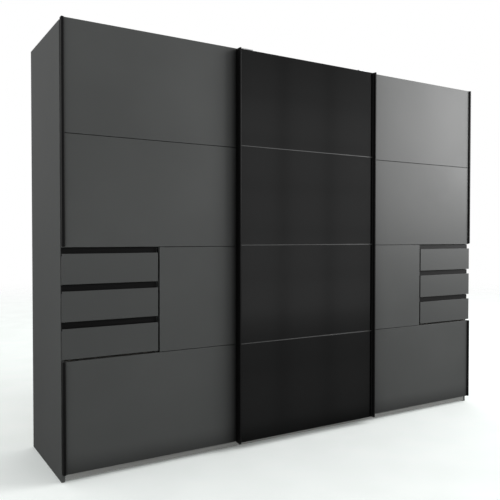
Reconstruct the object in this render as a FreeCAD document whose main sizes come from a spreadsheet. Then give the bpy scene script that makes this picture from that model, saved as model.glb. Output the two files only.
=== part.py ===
import FreeCAD, Part
import math
import os
import Sketcher
from FreeCAD import Placement, Rotation, Vector

# Three-door sliding wardrobe. +X runs to the right along the front, -Y is the front and +Z is up.
# The origin is the middle of the underside of the whole piece of furniture. Millimetres.

doc = FreeCAD.newDocument("SlidingDoorWardrobe")
sheet = doc.addObject("Spreadsheet::Sheet", "Sizes")


# ---------------------------------------------------------------- driving dimensions

class Size:
    """A length in millimetres, kept with the text of the expression that gives it."""

    def __init__(self, value, text):
        self.value = value
        self.text = text

    def __add__(self, other):
        other = as_size(other)
        return Size(self.value + other.value, f"({self.text} + {other.text})")

    def __sub__(self, other):
        other = as_size(other)
        return Size(self.value - other.value, f"({self.text} - {other.text})")

    def __mul__(self, factor):
        factor = as_size(factor)
        return Size(self.value * factor.value, f"({self.text} * {factor.text})")

    def __truediv__(self, divisor):
        divisor = as_size(divisor)
        return Size(self.value / divisor.value, f"({self.text} / {divisor.text})")

    def __neg__(self):
        return Size(-self.value, f"(0 - {self.text})")

    __radd__ = __add__
    __rmul__ = __mul__

    def __rsub__(self, other):
        return as_size(other) - self


def as_size(number):
    if isinstance(number, Size):
        return number
    return Size(float(number), f"{float(number):g}")


next_row = 1


def dimension(alias, value, meaning):
    """One driving dimension: a line of the sheet with its meaning, its value and its alias."""
    global next_row
    sheet.set(f"A{next_row}", meaning)
    sheet.set(f"B{next_row}", f"{value:g}")
    sheet.setAlias(f"B{next_row}", alias)
    next_row += 1
    return Size(float(value), f"Sizes.{alias}")


width = dimension("width", 2700, "overall width of the carcass")
depth = dimension("depth", 638, "overall depth, handle strips included")
door_top = dimension("door_top", 2080, "top edge of the doors")
door_bottom = dimension("door_bottom", 42.5, "bottom edge of the doors")
side_top = dimension("side_top", 2073, "top edge of the side panels")
board = dimension("board", 16, "thickness of the carcass boards")
top_board = dimension("top_board", 22, "thickness of the top panel, which carries the doors")
top_level = dimension("top_level", 2052, "upper side of the top panel")
bottom_level = dimension("bottom_level", 62, "underside of the bottom panel")
back_board = dimension("back_board", 3.2, "thickness of the back panels")
edge_inset = dimension("edge_inset", 1, "doors and drawers stop this far inside the carcass width")
door_board = dimension("door_board", 13, "thickness of an outer door's board")
face_panel = dimension("face_panel", 6, "thickness of an outer door's face panels")
middle_board = dimension("middle_board", 16, "thickness of the middle door's board")
glass = dimension("glass", 4, "thickness of the glass panels")
door_gap = dimension("door_gap", 6.5, "gap between the outer doors and the carcass")
middle_gap = dimension("middle_gap", 5, "gap between the middle door and the outer doors")
door_width = dimension("door_width", 918, "width of an outer door, handle strips included")
middle_width = dimension("middle_width", 930, "width of the middle door, handle strips included")
middle_shift = dimension("middle_shift", 6, "the closed middle door stands this far right of the middle")
middle_top = dimension("middle_top", 2075, "top edge of the middle door")
middle_bottom = dimension("middle_bottom", 40, "bottom edge of the middle door")
glass_seam = dimension("glass_seam", 554.5, "height of the lowest separating bar's middle")
glass_pitch = dimension("glass_pitch", 512.5, "distance from one separating bar to the next")
groove = dimension("groove", 3, "shadow groove between two face panels")
bar_height = dimension("bar_height", 4, "separating bar between two glass panels")
bar_proud = dimension("bar_proud", 1, "separating bar's height above the glass")
strip_proud = dimension("strip_proud", 20, "the middle door's strips stand this far in front of it")
strip_nose = dimension("strip_nose", 9, "width of the middle door's handle strips at their front")
outer_proud = dimension("outer_proud", 8, "the outer doors' strips stand this far in front of them")
outer_nose = dimension("outer_nose", 12, "width of the outer doors' handle strips at their front")
strip_base = dimension("strip_base", 14, "width of a handle strip on the door's face")
strip_wall = dimension("strip_wall", 2, "thickness of the strip's wall round the door's edge")
drawer_width = dimension("drawer_width", 457, "width of a drawer front")
drawer_height = dimension("drawer_height", 137.5, "height of a drawer front")
drawer_pitch = dimension("drawer_pitch", 168, "distance from one drawer to the next")
drawer_first = dimension("drawer_first", 1033.5, "top edge of the highest drawer front")
drawer_front = dimension("drawer_front", 16, "thickness of a drawer front")
drawer_slit = dimension("drawer_slit", 9, "gap between the drawer fronts and the narrow door panel")
box_depth = dimension("box_depth", 450, "length of a drawer box")
box_height = dimension("box_height", 96, "height of a drawer box's sides")
box_board = dimension("box_board", 12, "thickness of a drawer box's boards")
box_floor = dimension("box_floor", 4, "thickness of a drawer's bottom")
box_low = dimension("box_low", 14, "a drawer box's underside above its front's lower edge")
runner_space = dimension("runner_space", 13, "space for a runner beside a drawer box")
runner_high = dimension("runner_high", 34, "height of a cabinet runner")
grip_wall = dimension("grip_wall", 2, "wall thickness of the grip profile")
grip_reach = dimension("grip_reach", 27, "height of the grip profile above its drawer front")
grip_trough = dimension("grip_trough", 12, "depth of the finger trough behind the front's top edge")
grip_lip = dimension("grip_lip", 5, "thickness of the front left before the finger trough")
roller_radius = dimension("roller_radius", 12.5, "outer radius of a door roller")
roller_tread = dimension("roller_tread", 9.5, "radius at the bottom of the roller's groove")
roller_wide = dimension("roller_wide", 9, "width of a door roller")
axle_radius = dimension("axle_radius", 3, "radius of a roller's axle")
axle_level = dimension("axle_level", 2067.5, "height of the roller axles")
outer_track = dimension("outer_track", 37, "outer doors' track behind their front face")
middle_track = dimension("middle_track", 63, "middle door's track behind the outer doors' front face")
plate = dimension("plate", 2.5, "thickness of the hanger and guide plates")
hanger_width = dimension("hanger_width", 64, "width of a door hanger")
hanger_inset = dimension("hanger_inset", 70, "roller axle's distance from the door's edge")
hat_level = dimension("hat_level", 1760, "underside of the upper shelves")
rail_drop = dimension("rail_drop", 48, "clothes rail's middle below the upper shelf")
rail_high = dimension("rail_high", 30, "height of the oval clothes rail")
rail_thick = dimension("rail_thick", 15, "thickness of the oval clothes rail")
rail_bore = dimension("rail_bore", 6.3, "inner radius of the clothes rail's round sides")

# Levels and planes that follow from them.
half_width = width / 2
front_limit = -depth / 2
back_plane = depth / 2
outer_face = front_limit + strip_proud + glass + middle_board + middle_gap
outer_back = outer_face + face_panel + door_board
carcass_front = outer_back + door_gap
middle_face = outer_face - middle_gap - middle_board - glass
middle_back = outer_face - middle_gap
back_inside = back_plane - back_board
carcass_depth = back_inside - carcass_front
row_height = (door_top - door_bottom) / 4
lower_seam = door_bottom + row_height
drawer_seam = lower_seam + row_height
upper_seam = drawer_seam + row_height
floor_level = bottom_level + board
partition_x = width / 6
drawer_edge = half_width - edge_inset - drawer_width
housing_inner = drawer_edge + 8  # the upright stands just behind the drawer fronts' inner edge
bay_height = top_level - top_board - floor_level


# ---------------------------------------------------------------- building blocks

nodes = []


def bind(item, **sizes):
    """Binds properties of an object to sizes; Placement_Base_x stands for Placement.Base.x."""
    for name, size in sizes.items():
        item.setExpression(name.replace("_", "."), as_size(size).text)


def place(item, x=0, y=0, z=0):
    bind(item, Placement_Base_x=x, Placement_Base_y=y, Placement_Base_z=z)
    return item


def plank(name, corner, size):
    """A square-edged board, from its lowest corner in x, y, z and its size along them."""
    item = doc.addObject("Part::Box", name)
    item.Label = name
    bind(item, Length=size[0], Width=size[1], Height=size[2])
    return place(item, *corner)


def new_body(name):
    item = doc.addObject("PartDesign::Body", name)
    item.Label = name
    return item


def new_sketch(body, plane, name, shift=0):
    """A sketch on one of the body's own origin planes, shifted along that plane's normal."""
    sketch = body.newObject("Sketcher::SketchObject", name)
    origin_plane = next(f for f in body.Origin.OriginFeatures if f.Role == plane)
    sketch.AttachmentSupport = (origin_plane, [""])
    sketch.MapMode = "FlatFace"
    sketch.setExpression("AttachmentOffset.Base.z", as_size(shift).text)
    return sketch


def pin_point(sketch, line, end, across, up):
    """Fixes an end of a line at sizes measured from the sketch's origin."""
    for size, kind, axis in ((across, "DistanceX", -2), (up, "DistanceY", -1)):
        size = as_size(size)
        if size.text == "0":
            sketch.addConstraint(Sketcher.Constraint("PointOnObject", line, end, axis))
        else:
            number = sketch.addConstraint(
                Sketcher.Constraint(kind, -1, 1, line, end, size.value))
            sketch.setExpression(f"Constraints[{number}]", size.text)


def outline(sketch, points):
    """A closed outline of straight lines through points whose coordinates are sizes."""
    spots = [Vector(as_size(a).value, as_size(b).value, 0) for a, b in points]
    first = sketch.GeometryCount
    for start, end in zip(spots, spots[1:] + spots[:1]):
        sketch.addGeometry(Part.LineSegment(start, end))
    for number in range(len(spots)):
        follower = (number + 1) % len(spots)
        sketch.addConstraint(
            Sketcher.Constraint("Coincident", first + number, 2, first + follower, 1))
    for number, (across, up) in enumerate(points):
        pin_point(sketch, first + number, 1, across, up)


def ring(sketch, across, up, radius):
    """A circle at a place in the sketch."""
    spot = Vector(as_size(across).value, as_size(up).value, 0)
    number = sketch.addGeometry(Part.Circle(spot, Vector(0, 0, 1), as_size(radius).value))
    pin_point(sketch, number, 3, across, up)
    limit = sketch.addConstraint(Sketcher.Constraint("Radius", number, as_size(radius).value))
    sketch.setExpression(f"Constraints[{limit}]", as_size(radius).text)


def stadium(sketch, middle, radius):
    """Two half circles joined by straight sides, standing on end; middle is half its straight length."""
    reach, round_radius = as_size(middle), as_size(radius)
    upper = Vector(0, reach.value, 0)
    turn = Part.Circle(upper, Vector(0, 0, 1), round_radius.value)
    top = sketch.addGeometry(Part.ArcOfCircle(turn, 0, math.pi))
    turn = Part.Circle(-upper, Vector(0, 0, 1), round_radius.value)
    bottom = sketch.addGeometry(Part.ArcOfCircle(turn, math.pi, 2 * math.pi))
    aside = Vector(round_radius.value, 0, 0)
    left = sketch.addGeometry(Part.LineSegment(upper - aside, -upper - aside))
    right = sketch.addGeometry(Part.LineSegment(-upper + aside, upper + aside))
    for one, one_end, two, two_end in ((top, 2, left, 1), (left, 2, bottom, 1),
                                       (bottom, 2, right, 1), (right, 2, top, 1)):
        sketch.addConstraint(Sketcher.Constraint("Tangent", one, one_end, two, two_end))
    sketch.addConstraint(Sketcher.Constraint("PointOnObject", top, 3, -2))
    sketch.addConstraint(Sketcher.Constraint("PointOnObject", bottom, 3, -2))
    for arc, (start, end) in ((top, (-1, top)), (bottom, (bottom, -1))):
        first_end, second_end = (1, 3) if start == -1 else (3, 1)
        number = sketch.addConstraint(
            Sketcher.Constraint("DistanceY", start, first_end, end, second_end, reach.value))
        sketch.setExpression(f"Constraints[{number}]", reach.text)
    number = sketch.addConstraint(Sketcher.Constraint("Radius", top, round_radius.value))
    sketch.setExpression(f"Constraints[{number}]", round_radius.text)


def pad(body, sketch, length, name, backwards=False):
    feature = body.newObject("PartDesign::Pad", name)
    feature.Profile = sketch
    feature.setExpression("Length", as_size(length).text)
    feature.Reversed = backwards
    sketch.Visibility = False
    body.Tip = feature
    return feature


def extrusion(name, plane, points, length, backwards=False):
    """A body whose section is a straight-sided outline. It grows along +X from the YZ plane,
    along +Z from the XY plane and, told to run backwards, along +Y from the XZ plane."""
    body = new_body(name)
    sketch = new_sketch(body, plane, name + "_section")
    outline(sketch, points)
    pad(body, sketch, length, name + "_length", backwards)
    return body


def add_node(item):
    """Marks an object as a sub-part of its own."""
    nodes.append(item)
    return item


def group(name, items):
    """Several like pieces kept as one sub-part."""
    item = doc.addObject("Part::Compound", name)
    item.Label = name
    item.Links = items
    return add_node(item)


# ---------------------------------------------------------------- carcass

def side_panels():
    for side, x in (("left", -half_width), ("right", half_width - board)):
        add_node(plank(f"side_panel_{side}", (x, carcass_front, glide_height),
                       (board, back_plane - carcass_front, side_top - glide_height)))


def partitions():
    for side, x in (("left", -partition_x), ("right", partition_x)):
        add_node(plank(f"partition_{side}", (x - board / 2, carcass_front, floor_level),
                       (board, carcass_depth, bay_height)))


def top_and_bottom():
    inside = width - board * 2
    add_node(plank("top_panel", (-inside / 2, carcass_front, top_level - top_board),
                   (inside, carcass_depth, top_board)))
    add_node(plank("bottom_panel", (-inside / 2, carcass_front, bottom_level),
                   (inside, carcass_depth, board)))


def back_panels():
    seam = as_size(0.5)
    outer = half_width - board
    spans = ((-outer, -partition_x - seam), (-partition_x + seam, partition_x - seam),
             (partition_x + seam, outer))
    pieces = []
    for number, (start, end) in enumerate(spans, 1):
        pieces.append(plank(f"back_panel_{number}", (start, back_inside, bottom_level),
                            (end - start, back_board, top_level - bottom_level)))
    group("back_panels", pieces)


def bay_spans():
    """Free width of the three bays, as (name, start, end)."""
    outer = half_width - board
    return (("left", -outer, -partition_x - board / 2),
            ("middle", -partition_x + board / 2, partition_x - board / 2),
            ("right", partition_x + board / 2, outer))


shelf_play = 0.5
shelf_setback = 25
shelf_depth = carcass_depth - shelf_setback - 5


def shelf(name, start, end, level):
    return plank(name, (start + shelf_play, carcass_front + shelf_setback, level),
                 (end - start - 2 * shelf_play, shelf_depth, board))


def shelf_levels():
    """Every shelf as (name, start, end, underside level)."""
    shelves = [(f"hat_shelf_{bay}", start, end, hat_level) for bay, start, end in bay_spans()]
    _, start, end = bay_spans()[1]
    for number in (1, 2, 3):
        level = floor_level + (drawer_seam - floor_level) * (number / 3) - board
        shelves.append((f"middle_shelf_{number}", start, end, level))
    return shelves


def shelves():
    group("shelves", [shelf(*entry) for entry in shelf_levels()])


def shelf_pins():
    """Four short pins under every shelf, against the panels beside it."""
    pin_radius, pin_length = 2.5, 9
    front_row, rear_row = carcass_front + 70, back_inside - 60
    pins = []
    for name, start, end, level in shelf_levels():
        for corner, (edge, turn) in enumerate(((start, 90), (end, -90))):
            for row, y in enumerate((front_row, rear_row)):
                pin = doc.addObject("Part::Cylinder", f"{name}_pin_{corner}_{row}")
                bind(pin, Radius=pin_radius, Height=pin_length)
                pin.Placement = Placement(Vector(), Rotation(Vector(0, 1, 0), turn))
                pins.append(place(pin, edge, y, level - pin_radius))
    group("shelf_pins", pins)


rail_level = hat_level - rail_drop
rail_y = carcass_front + carcass_depth / 2
rail_end_gap = 3
socket_depth = 14


def clothes_rails():
    rails = []
    for bay, start, end in bay_spans():
        body = new_body(f"clothes_rail_{bay}")
        sketch = new_sketch(body, "YZ_Plane", f"{bay}_rail_section")
        straight = (rail_high - rail_thick) / 2
        stadium(sketch, straight, rail_thick / 2)
        stadium(sketch, straight, rail_bore)
        pad(body, sketch, end - start - 2 * rail_end_gap, f"{bay}_rail_length")
        rails.append(place(body, start + rail_end_gap, rail_y, rail_level))
    group("clothes_rails", rails)


def rail_sockets():
    """A flat plate with a U-shaped cup at each end of every clothes rail."""
    sockets = []
    cup = 2.5
    wall_plate, plate_border = 2, 6
    half_cup = rail_thick / 2 + 0.5
    drop = rail_high / 2 + 0.5
    for bay, start, end in bay_spans():
        for side, edge in (("start", start), ("end", end - socket_depth)):
            name = f"rail_socket_{bay}_{side}"
            body = extrusion(name, "YZ_Plane", (
                (-half_cup - cup, drop), (-half_cup - cup, -drop - cup), (half_cup + cup, -drop - cup),
                (half_cup + cup, drop), (half_cup, drop), (half_cup, -drop), (-half_cup, -drop),
                (-half_cup, drop)), socket_depth)
            wall = new_sketch(body, "YZ_Plane", name + "_wall",
                              0 if side == "start" else socket_depth - wall_plate)
            reach, tall = half_cup + cup + plate_border, drop + plate_border
            outline(wall, ((-reach, -tall), (reach, -tall), (reach, tall), (-reach, tall)))
            pad(body, wall, wall_plate, name + "_plate")
            sockets.append(place(body, edge, rail_y, rail_level))
    group("rail_sockets", sockets)


# ---------------------------------------------------------------- base and feet

base_inset = 1.5
base_depth = 30
base_clearance = 10
base_wall = 2
glide_height = 2


def base_guide_rail():
    """The rail under the doors. Its front slot takes the middle door's guides, and the channel on its
    upper step takes the outer doors' guides."""
    wall = base_wall
    foot_high, slot_low, slot_high, channel_high = 3.5, 23, 32, 42
    shelf_top = slot_high + wall
    far, near = base_depth, base_depth - wall
    top = bottom_level - base_clearance
    rib_start, rib_end = 14, 16
    outline_points = (
        (-1, 0), (far, 0), (far, top), (near, top), (near, shelf_top), (rib_end, shelf_top),
        (rib_end, channel_high), (rib_start, channel_high), (rib_start, shelf_top), (wall, shelf_top),
        (wall, channel_high), (0, channel_high), (0, slot_high), (near, slot_high), (near, wall),
        (wall, wall), (wall, slot_low), (0, slot_low), (0, foot_high), (-1, foot_high))
    rail = extrusion("base_guide_rail", "YZ_Plane", outline_points, width - board * 2)
    add_node(place(rail, board - half_width, carcass_front + base_inset, base_clearance))


def rear_base_rail():
    inside = width - board * 2
    add_node(plank("rear_base_rail", (-inside / 2, back_inside - 30, base_clearance),
                   (inside, board, bottom_level - base_clearance)))


def feet():
    """Thin glides under the side panels and round feet under the bottom panel at the partitions."""
    pieces = []

    def disc(name, x, y, low, radius, height):
        foot = doc.addObject("Part::Cylinder", name)
        bind(foot, Radius=radius, Height=height)
        pieces.append(place(foot, x, y, low))

    inset, glide_radius, foot_radius = 80, 7, 26
    rows = (("front", carcass_front + inset), ("rear", back_inside - inset))
    for side, sign in (("left", -1), ("right", 1)):
        for row, y in rows:
            disc(f"glide_{side}_{row}", (half_width - board / 2) * sign, y, 0, glide_radius, glide_height)
            disc(f"foot_{side}_{row}", partition_x * sign, y, 0, foot_radius, bottom_level)
    group("feet", pieces)


# ---------------------------------------------------------------- top track

track_base = 2
rib_height = 3.7
track_end_gap = 2


def top_track():
    """An extruded double track on the top panel: a flat base with two ribs and two edge lips."""
    start = outer_track - 9
    end = middle_track + 12
    long = end - start
    half_rib = 2
    lip_wall, lip_high = 2, 8
    points = [(0, 0), (long, 0), (long, lip_high), (long - lip_wall, lip_high),
              (long - lip_wall, track_base)]
    for track in (middle_track, outer_track):
        middle = track - start
        points += [(middle + half_rib, track_base), (middle + half_rib, track_base + rib_height),
                   (middle - half_rib, track_base + rib_height), (middle - half_rib, track_base)]
    points += [(lip_wall, track_base), (lip_wall, lip_high), (0, lip_high)]
    rail = extrusion("top_track", "YZ_Plane", points, width - (board + track_end_gap) * 2)
    add_node(place(rail, board + track_end_gap - half_width, outer_face + start, top_level))


def track_buffers():
    """Rubber blocks at the ends of the tracks, against which the doors come to rest."""
    pieces = []
    size = (18, 8, 14)
    low = top_level + track_base + rib_height
    reach = edge_inset + hanger_inset - roller_radius - 4
    for side, sign in (("left", -1), ("right", 1)):
        x = (half_width - reach) * sign
        start = x - size[0] if sign < 0 else x
        for name, track in (("outer", outer_track), ("middle", middle_track)):
            pieces.append(plank(f"buffer_{name}_{side}",
                                (start, outer_face + track - size[1] / 2, low), size))
    group("track_buffers", pieces)


# ---------------------------------------------------------------- doors

strip_rise = 4
bar_play = 0.2


def handle_strip(name, side, x, face, back, bottom, height, proud=strip_proud, nose=strip_nose):
    """A vertical handle strip. A thin wall covers the door's edge, and a curved nose stands in front
    of the door. side is -1 for a strip on the left edge, whose outer face is at x, and 1 for the right."""
    body = new_body(name)
    sketch = new_sketch(body, "XY_Plane", name + "_section")
    inwards = -side
    reach = back - face + proud
    hollow = strip_base - nose
    points = (
        (0, reach), (0, 1.5), (1.5 * inwards, 0), ((nose - 1.5) * inwards, 0),
        (nose * inwards, 1.5), ((nose + hollow * 0.1) * inwards, proud * 0.5),
        ((nose + hollow * 0.4) * inwards, proud * 0.8), (strip_base * inwards, proud - 1),
        (strip_base * inwards, proud), (strip_wall * inwards, proud), (strip_wall * inwards, reach))
    outline(sketch, points)
    pad(body, sketch, height, name + "_length")
    return place(body, x, face - proud, bottom)


def roller(name, x, track):
    """A grooved wheel that runs on a rib of the top track. It turns about its axle, along Y."""
    body = new_body(name)
    sketch = new_sketch(body, "YZ_Plane", name + "_section")
    half = roller_wide / 2
    groove_half, groove_slope, chamfer = 2.3, 0.6, 0.8
    bore = axle_radius + 0.3
    outline(sketch, (
        (-half, bore), (half, bore), (half, roller_radius - chamfer), (half - chamfer, roller_radius),
        (groove_half + groove_slope, roller_radius), (groove_half, roller_tread),
        (-groove_half, roller_tread), (-groove_half - groove_slope, roller_radius),
        (-half + chamfer, roller_radius), (-half, roller_radius - chamfer)))
    wheel = body.newObject("PartDesign::Revolution", name + "_turned")
    wheel.Profile = sketch
    wheel.ReferenceAxis = (sketch, ["H_Axis"])
    wheel.Angle = 360
    body.Tip = wheel
    add_node(place(body, x, outer_face + track, axle_level))


def hanger(name, x, door_back, track, over_the_top):
    """A bent plate on the door's back that carries a roller's axle. The middle door's hangers reach
    over the outer doors, and the outer doors' are flat."""
    below_axle, above_axle, arm_above_axle, flap = 75, 10.5, 16.5, 27
    bottom = axle_level - below_axle
    height = as_size(below_axle + above_axle)
    if over_the_top:
        arm_low = as_size(below_axle + arm_above_axle)
        reach = outer_face + track - roller_wide / 2 - 4.5 - door_back
        points = ((0, 0), (plate, 0), (plate, arm_low), (reach - plate, arm_low),
                  (reach - plate, arm_low - flap), (reach, arm_low - flap), (reach, arm_low + plate),
                  (0, arm_low + plate))
        axle_start = reach
    else:
        points = ((0, 0), (plate, 0), (plate, height), (0, height))
        axle_start = plate
    body = extrusion(name, "YZ_Plane", points, hanger_width)
    axle_end = outer_face + track + roller_wide / 2 + 1.5 - door_back
    axle = new_sketch(body, "XZ_Plane", name + "_axle_section", -axle_start + 0.5)
    ring(axle, hanger_width / 2, below_axle, axle_radius)
    pad(body, axle, axle_end - axle_start + 0.5, name + "_axle", backwards=True)
    return place(body, x - hanger_width / 2, door_back, bottom)


guide_width = 50
guide_arm = 9
finger_thick = 4
finger_play = 0.6


def outer_guide(name, x):
    """A hooked guide that reaches over the base rail's front wall into its upper channel."""
    low = bottom_level - 15
    arm, tall = guide_arm, 62
    finger_start = carcass_front + base_inset + base_wall + finger_play - outer_back
    finger_end = finger_start + finger_thick
    body = extrusion(name, "YZ_Plane", (
        (0, 0), (plate, 0), (plate, arm), (finger_start, arm), (finger_start, 0), (finger_end, 0),
        (finger_end, arm + plate), (plate, arm + plate), (plate, tall), (0, tall)), guide_width)
    return place(body, x - guide_width / 2, outer_back, low)


def middle_guide(name, x):
    """A guide that reaches back under the outer doors into the slot of the base rail."""
    low = door_bottom - 15.5
    arm, tall = guide_arm, 72
    finger_start = carcass_front + base_inset + base_wall + finger_play - middle_back
    finger_end = finger_start + finger_thick
    body = extrusion(name, "YZ_Plane", (
        (0, arm), (finger_start, arm), (finger_start, 0), (finger_end, 0),
        (finger_end, arm + plate), (plate, arm + plate), (plate, tall), (0, tall)), guide_width)
    return place(body, x - guide_width / 2, middle_back, low)


def outer_door(side, sign):
    """An outer door. sign is -1 for the left one and 1 for its mirror image on the right."""
    name = f"{side}_door"
    edge = (half_width - edge_inset) * sign
    board_edge = (half_width - edge_inset - strip_wall) * sign
    inner = (half_width - edge_inset - door_width) * sign
    notch = (drawer_edge - drawer_slit) * sign
    notch_low, notch_high = lower_seam - groove / 2, drawer_seam + groove / 2

    door = extrusion(f"{name}_board", "XZ_Plane", (
        (board_edge, door_bottom), (inner, door_bottom), (inner, door_top), (board_edge, door_top),
        (board_edge, notch_high), (notch, notch_high), (notch, notch_low), (board_edge, notch_low)),
        door_board, backwards=True)
    add_node(place(door, 0, outer_face + face_panel, 0))

    def face(label, one, two, low, high):
        start, end = (one, two) if sign < 0 else (two, one)
        return plank(f"{name}_{label}", (start, outer_face, low), (end - start, face_panel, high - low))

    half = groove / 2
    group(f"{name}_face_panels", [
        face("face_1", board_edge, inner, upper_seam + half, door_top),
        face("face_2", board_edge, inner, drawer_seam + half, upper_seam - half),
        face("face_3", notch, inner, lower_seam + half, drawer_seam - half),
        face("face_4", board_edge, inner, door_bottom, lower_seam - half)])

    group(f"{name}_handle_strips", [
        handle_strip(f"{name}_upper_strip", sign, edge, outer_face, outer_back,
                     notch_high + strip_rise, door_top - notch_high - strip_rise,
                     outer_proud, outer_nose),
        handle_strip(f"{name}_lower_strip", sign, edge, outer_face, outer_back,
                     door_bottom, notch_low - door_bottom, outer_proud, outer_nose)])

    places = [edge - hanger_inset * sign, inner + hanger_inset * sign]
    group(f"{name}_hangers", [
        hanger(f"{name}_hanger_{n}", x, outer_back, outer_track, False) for n, x in enumerate(places, 1)])
    group(f"{name}_guides", [
        outer_guide(f"{name}_guide_{n}", x) for n, x in enumerate(places, 1)])
    for number, x in enumerate(places, 1):
        roller(f"{name}_roller_{number}", x, outer_track)


def middle_door():
    left_edge, right_edge = middle_shift - middle_width / 2, middle_shift + middle_width / 2
    start, inside = left_edge + strip_wall, middle_width - strip_wall * 2
    height = middle_top - middle_bottom
    add_node(plank("middle_door_board", (start, middle_back - middle_board, middle_bottom),
                   (inside, middle_board, height)))

    bar_levels = [glass_seam + glass_pitch * number for number in range(3)]
    half_bar = bar_height / 2
    lower_edges = [middle_bottom] + [level + half_bar for level in bar_levels]
    upper_edges = [level - half_bar for level in bar_levels] + [middle_top]
    group("middle_door_glass", [
        plank(f"glass_{number}", (start, middle_face, low), (inside, glass, high - low))
        for number, (low, high) in enumerate(zip(lower_edges, upper_edges), 1)])

    bar_start = left_edge + strip_base + bar_play
    group("middle_door_separating_bars", [
        plank(f"bar_{number}", (bar_start, middle_face - bar_proud, level - half_bar),
              (middle_width - (strip_base + bar_play) * 2, glass + bar_proud, bar_height))
        for number, level in enumerate(bar_levels, 1)])

    group("middle_door_handle_strips", [
        handle_strip("middle_left_strip", -1, left_edge, middle_face, middle_back, middle_bottom, height),
        handle_strip("middle_right_strip", 1, right_edge, middle_face, middle_back, middle_bottom, height)])

    places = [left_edge + hanger_inset, right_edge - hanger_inset]
    group("middle_door_hangers", [
        hanger(f"middle_hanger_{n}", x, middle_back, middle_track, True) for n, x in enumerate(places, 1)])
    group("middle_door_guides", [middle_guide(f"middle_guide_{n}", x) for n, x in enumerate(places, 1)])
    for number, x in enumerate(places, 1):
        roller(f"middle_door_roller_{number}", x, middle_track)


# ---------------------------------------------------------------- drawers and their housings

def drawer_top(number):
    """Top edge of a drawer front, counted from 1 at the top."""
    return drawer_first - drawer_pitch * (number - 1)


runner_wall = 1.2
runner_lip = 5
runner_play = 2.5


def runner_middle(number):
    return drawer_top(number) - drawer_height / 2 - 6


def mirrored_start(sign, near, far):
    """Lower x of a span given by distances from the middle plane, on either side of it."""
    return -far if sign < 0 else near


def drawer_housing(side, sign):
    """Boards that hold three drawers beside a side panel: an upright, a top and a bottom board."""
    outer = half_width - board
    upright = housing_inner - board
    x = mirrored_start(sign, upright, outer)
    cover = outer - upright
    clearance = 2
    top_under = drawer_seam + clearance
    group(f"drawer_housing_{side}", [
        plank(f"housing_top_{side}", (x, carcass_front, top_under), (cover, carcass_depth, board)),
        plank(f"housing_upright_{side}",
              (mirrored_start(sign, upright, housing_inner), carcass_front, floor_level),
              (board, carcass_depth, top_under - floor_level)),
        plank(f"housing_bottom_{side}",
              (mirrored_start(sign, housing_inner, outer), carcass_front, lower_seam - clearance - board),
              (outer - housing_inner, carcass_depth, board))])


def cabinet_runner(name, sign, wall_x, middle):
    """A C-shaped steel channel screwed to a wall; sign points from the wall into the housing."""
    deep = runner_space - runner_play
    tall = runner_high
    skin, lip = runner_wall, runner_lip
    body = extrusion(name, "XZ_Plane", (
        (0, 0), (deep * sign, 0), (deep * sign, lip), ((deep - skin) * sign, lip),
        ((deep - skin) * sign, skin), (skin * sign, skin), (skin * sign, tall - skin),
        ((deep - skin) * sign, tall - skin), ((deep - skin) * sign, tall - lip),
        (deep * sign, tall - lip), (deep * sign, tall), (0, tall)),
        box_depth, backwards=True)
    return place(body, wall_x, carcass_front + 4, middle - runner_high / 2)


def cabinet_runners():
    pieces = []
    for side, sign in (("left", -1), ("right", 1)):
        for number in (1, 2, 3):
            middle = runner_middle(number)
            pieces.append(cabinet_runner(f"runner_{side}_{number}_outer", -sign,
                                         (half_width - board) * sign, middle))
            pieces.append(cabinet_runner(f"runner_{side}_{number}_inner", sign,
                                         housing_inner * sign, middle))
    group("cabinet_runners", pieces)


grip_play = 0.2
bottom_raise = 8


def drawer(side, sign, number):
    name = f"drawer_{side}_{number}"
    top = drawer_top(number)
    outer_edge = half_width - edge_inset
    front_x = mirrored_start(sign, drawer_edge, outer_edge)

    front = extrusion(f"{name}_front", "YZ_Plane", (
        (0, 0), (drawer_front, 0), (drawer_front, drawer_height - grip_trough - grip_play),
        (grip_lip, drawer_height - grip_trough - grip_play), (grip_lip, drawer_height),
        (0, drawer_height)),
        drawer_width)
    add_node(place(front, front_x, outer_face, top - drawer_height))

    wall = grip_wall
    wall_start, wall_end = grip_lip + grip_play, drawer_front + 1.5 + grip_wall
    grip_high = grip_trough + grip_reach
    grip = extrusion(f"{name}_grip", "YZ_Plane", (
        (wall_start, 0), (wall_end, 0), (wall_end, grip_high), (wall_end - wall, grip_high),
        (wall_end - wall, wall), (wall_start + wall, wall), (wall_start + wall, grip_trough),
        (wall_start, grip_trough)), drawer_width)
    add_node(place(grip, front_x, outer_face, top - grip_trough))

    start = housing_inner + runner_space
    end = half_width - board - runner_space
    box_y = outer_face + drawer_front
    low = top - drawer_height + box_low
    x_low = mirrored_start(sign, start, end)
    wide = end - start
    inside = wide - box_board * 2
    pieces = [
        plank(f"{name}_side_a", (x_low, box_y, low), (box_board, box_depth, box_height)),
        plank(f"{name}_side_b", (x_low + wide - box_board, box_y, low), (box_board, box_depth, box_height)),
        plank(f"{name}_inner_front", (x_low + box_board, box_y, low), (inside, box_board, box_height)),
        plank(f"{name}_back", (x_low + box_board, box_y + box_depth - box_board, low),
              (inside, box_board, box_height)),
        plank(f"{name}_bottom", (x_low + box_board, box_y + box_board, low + bottom_raise),
              (inside, box_depth - box_board * 2, box_floor))]
    slider = runner_space - runner_wall - 1
    slider_high = runner_high - (runner_lip + 1) * 2
    slider_low = runner_middle(number) - slider_high / 2
    slider_size = (slider, box_depth - 20, slider_high)
    for mark, x in (("a", x_low - slider), ("b", x_low + wide)):
        pieces.append(plank(f"{name}_slider_{mark}", (x, box_y + 16, slider_low), slider_size))
    group(f"{name}_box", pieces)


# ---------------------------------------------------------------- assembly

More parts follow.
